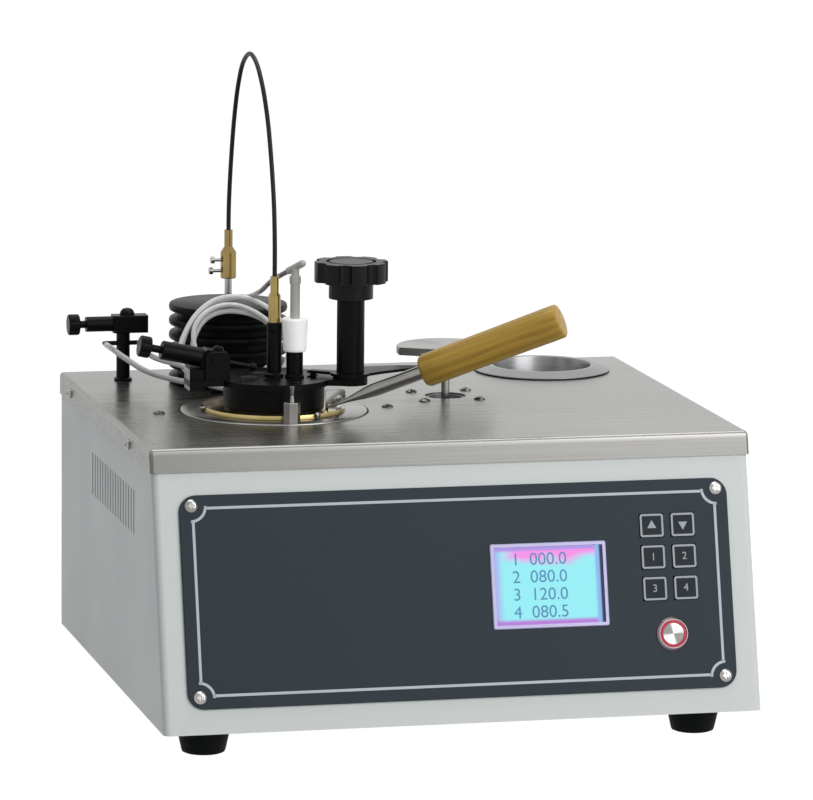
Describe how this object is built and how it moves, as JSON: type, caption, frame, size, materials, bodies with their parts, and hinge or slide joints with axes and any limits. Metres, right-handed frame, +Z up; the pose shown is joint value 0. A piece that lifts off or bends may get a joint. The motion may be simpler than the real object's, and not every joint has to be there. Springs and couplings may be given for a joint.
{
  "type": "flash point tester",
  "caption": "Closed-cup flash point tester: sloping-front cabinet, heated brass cup with wooden handle, black lid with stirrer, shutter, test flame and sensor, motor drive and cooling well",
  "frame": {"origin": "on the bench, in the middle of the footprint", "axes": "+X to the operator's right, +Y from the operator to the back, +Z up"},
  "size_m": [0.4352, 0.408, 0.4633],
  "materials": {
    "cabinet_paint": "off-white, light satin",
    "zinc_sheet": "galvanised, dull",
    "cover_steel": "fine brushed",
    "rubber": "black, dull",
    "bright_screws": "bright turned steel",
    "panel_film": "dark slate, satin, with a thin pale border line",
    "bezel_silver": "silver",
    "display": "lit blue panel",
    "key_caps": "dark with pale edge and sign",
    "power_red": "lit red and white",
    "board": "green board",
    "black_plastic": "black, slight sheen",
    "brass": "turned brass",
    "iron_core": "dark iron",
    "ceramic": "off-white ceramic",
    "handle_steel": "polished steel",
    "handle_wood": "varnished yellow-brown wood",
    "black_steel": "blackened steel, satin",
    "motor_steel": "grey",
    "disc_steel": "satin",
    "flex_sheath": "black sheath",
    "plug_white": "white",
    "lead_white": "white silicone",
    "hose_clear": "milky",
    "well_aluminium": "satin cast"
  },
  "bodies": {
    "cabinet": {"cabinet_body": "cabinet_paint", "chassis": "zinc_sheet", "top_cover": "cover_steel", "rubber_feet": "rubber", "cover_screws": "bright_screws", "deck_screws": "bright_screws", "control_panel": "panel_film", "panel_screws": "bright_screws", "display_frame": "bezel_silver", "display_glass": "display", "power_bezel": "bright_screws", "control_board": "board", "power_inlet": "black_plastic", "gas_inlet": "brass", "transformer": "iron_core", "heater_vessel": "iron_core", "heater_element": "ceramic", "vessel_ring": "cover_steel", "locating_stud": "bright_screws", "motor_housing": "black_steel", "stirrer_motor": "motor_steel", "sensor_coil": "lead_white", "lead_gland": "rubber", "shutter_motor": "motor_steel", "valve_post": "black_steel", "gas_hoses": "hose_clear", "cooling_well": "well_aluminium"},
    "cup_set": {"cup": "brass", "cup_screws": "bright_screws", "handle_bracket": "bright_screws", "handle_ferrule": "handle_steel", "handle_grip": "handle_wood"},
    "lid_set": {"lid_body": "black_steel", "shutter_guard": "black_steel", "stirrer_column": "black_steel", "sensor_ferrule": "plug_white", "sensor_probe": "bright_screws", "sensor_lead": "lead_white", "burner_mount": "black_steel", "flexible_shaft": "flex_sheath"},
    "stirrer_set": {"stirrer": "bright_screws", "spindle_coupling": "brass"},
    "coupling_set": {"motor_coupling": "brass", "coupling_screws": "bright_screws"},
    "rotor_set": {"motor_shaft": "bright_screws"},
    "shutter_set": {"shutter": "black_steel"},
    "knob_set": {"knob_column": "black_steel", "star_knob": "black_plastic", "drive_lever": "black_steel"},
    "disc_set": {"drive_disc": "disc_steel"},
    "burner_set": {"burner_body": "black_steel"},
    "burner_wheel": {"burner_knob": "black_steel"},
    "valve_wheel": {"valve_knob": "black_steel"},
    "power_set": {"power_cap": "power_red"},
    "key_set_1": {"key_1": "key_caps"},
    "key_set_2": {"key_2": "key_caps"},
    "key_set_3": {"key_3": "key_caps"},
    "key_set_4": {"key_4": "key_caps"},
    "key_set_5": {"key_5": "key_caps"},
    "key_set_6": {"key_6": "key_caps"}
  },
  "joints": [
    {"name": "lid_lift", "type": "slide", "parent": "cabinet", "child": "lid_set", "axis": [0, 0, 1], "range_m": [0, 0.13], "deforming": ["gas_hoses", "sensor_lead"]},
    {"name": "cup_lift", "type": "slide", "parent": "cabinet", "child": "cup_set", "axis": [0, 0, 1], "range_m": [0, 0.07]},
    {"name": "stirrer_turn", "type": "hinge", "parent": "lid_set", "child": "stirrer_set", "pos_m": [-0.0952, -0.00865, 0.2128], "axis": [0, 0, 1], "continuous": true},
    {"name": "coupling_turn", "type": "hinge", "parent": "lid_set", "child": "coupling_set", "pos_m": [-0.1008, 0.12295, 0.2898], "axis": [0, 0, 1], "continuous": true},
    {"name": "shaft_turn", "type": "hinge", "parent": "cabinet", "child": "rotor_set", "pos_m": [-0.1008, 0.12295, 0.2728], "axis": [0, 0, 1], "continuous": true},
    {"name": "knob_turn", "type": "hinge", "parent": "lid_set", "child": "knob_set", "pos_m": [-0.043, -0.02505, 0.2372], "axis": [0, 0, 1], "range_deg": [0, 30], "stiffness_Nm_per_rad": 0.05, "springref_deg": -17.19},
    {"name": "shutter_turn", "type": "hinge", "parent": "lid_set", "child": "shutter_set", "pos_m": [-0.0952, -0.00865, 0.2348], "axis": [0, 0, 1], "range_deg": [-31, 1]},
    {"name": "disc_turn", "type": "hinge", "parent": "cabinet", "child": "disc_set", "pos_m": [0.0417, 0.03125, 0.2428], "axis": [0, 0, 1], "range_deg": [-42, 1]},
    {"name": "burner_tilt", "type": "hinge", "parent": "lid_set", "child": "burner_set", "pos_m": [-0.141, -0.00865, 0.2509], "axis": [0, 1, 0], "range_deg": [-1, 13]},
    {"name": "burner_wheel_turn", "type": "hinge", "parent": "burner_set", "child": "burner_wheel", "pos_m": [-0.141, -0.00865, 0.2509], "axis": [0.9778, 0, -0.2096], "range_deg": [0, 720]},
    {"name": "valve_wheel_turn", "type": "hinge", "parent": "cabinet", "child": "valve_wheel", "pos_m": [-0.206, 0.14085, 0.2551], "axis": [1, 0, 0], "range_deg": [0, 720]},
    {"name": "power_press", "type": "slide", "parent": "cabinet", "child": "power_set", "axis": [0, 0.9662, -0.2578], "range_m": [0, 0.0025], "stiffness_N_per_m": 400, "springref_m": -0.002},
    {"name": "key_press_1", "type": "slide", "parent": "cabinet", "child": "key_set_1", "axis": [0, 0.9662, -0.2578], "range_m": [0, 0.0008], "stiffness_N_per_m": 500, "springref_m": -0.001},
    {"name": "key_press_2", "type": "slide", "parent": "cabinet", "child": "key_set_2", "axis": [0, 0.9662, -0.2578], "range_m": [0, 0.0008], "stiffness_N_per_m": 500, "springref_m": -0.001},
    {"name": "key_press_3", "type": "slide", "parent": "cabinet", "child": "key_set_3", "axis": [0, 0.9662, -0.2578], "range_m": [0, 0.0008], "stiffness_N_per_m": 500, "springref_m": -0.001},
    {"name": "key_press_4", "type": "slide", "parent": "cabinet", "child": "key_set_4", "axis": [0, 0.9662, -0.2578], "range_m": [0, 0.0008], "stiffness_N_per_m": 500, "springref_m": -0.001},
    {"name": "key_press_5", "type": "slide", "parent": "cabinet", "child": "key_set_5", "axis": [0, 0.9662, -0.2578], "range_m": [0, 0.0008], "stiffness_N_per_m": 500, "springref_m": -0.001},
    {"name": "key_press_6", "type": "slide", "parent": "cabinet", "child": "key_set_6", "axis": [0, 0.9662, -0.2578], "range_m": [0, 0.0008], "stiffness_N_per_m": 500, "springref_m": -0.001}
  ],
  "couplings": [
    {"joint": "cup_lift", "follows": "lid_lift", "ratio": 0.5},
    {"joint": "coupling_turn", "follows": "stirrer_turn", "ratio": -1},
    {"joint": "shaft_turn", "follows": "stirrer_turn", "ratio": -1},
    {"joint": "shutter_turn", "follows": "knob_turn", "ratio": -0.98},
    {"joint": "disc_turn", "follows": "knob_turn", "ratio": -1.35},
    {"joint": "burner_tilt", "follows": "knob_turn", "ratio": 0.4}
  ]
}
